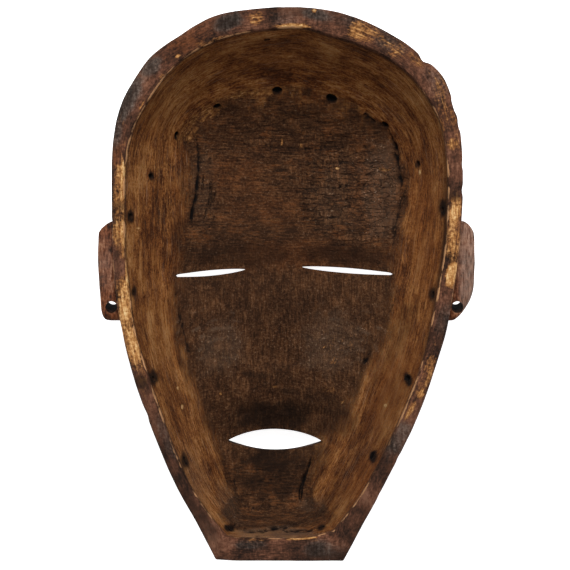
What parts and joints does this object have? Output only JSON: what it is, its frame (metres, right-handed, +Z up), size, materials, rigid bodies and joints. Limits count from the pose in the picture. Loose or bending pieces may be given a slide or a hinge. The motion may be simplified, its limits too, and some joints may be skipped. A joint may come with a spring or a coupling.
{
  "type": "carved wooden face mask",
  "caption": "Hollow wooden face mask carved from one block, with slit eyes, an open mouth, lug ears and small lashing holes round its rim.",
  "frame": {"origin": "on the surface that the mask lies on, face down, under the middle of its outline", "axes": "+Z up, from the face to the back rim; +Y from chin to crown; +X to the right, looking down into the hollow"},
  "size_m": [0.1792, 0.261, 0.094],
  "materials": {
    "wood": "hand-carved, dark aged patina on the rim and rubbed bare edges"
  },
  "bodies": {
    "root": {"carved_mask": "wood"}
  },
  "joints": []
}
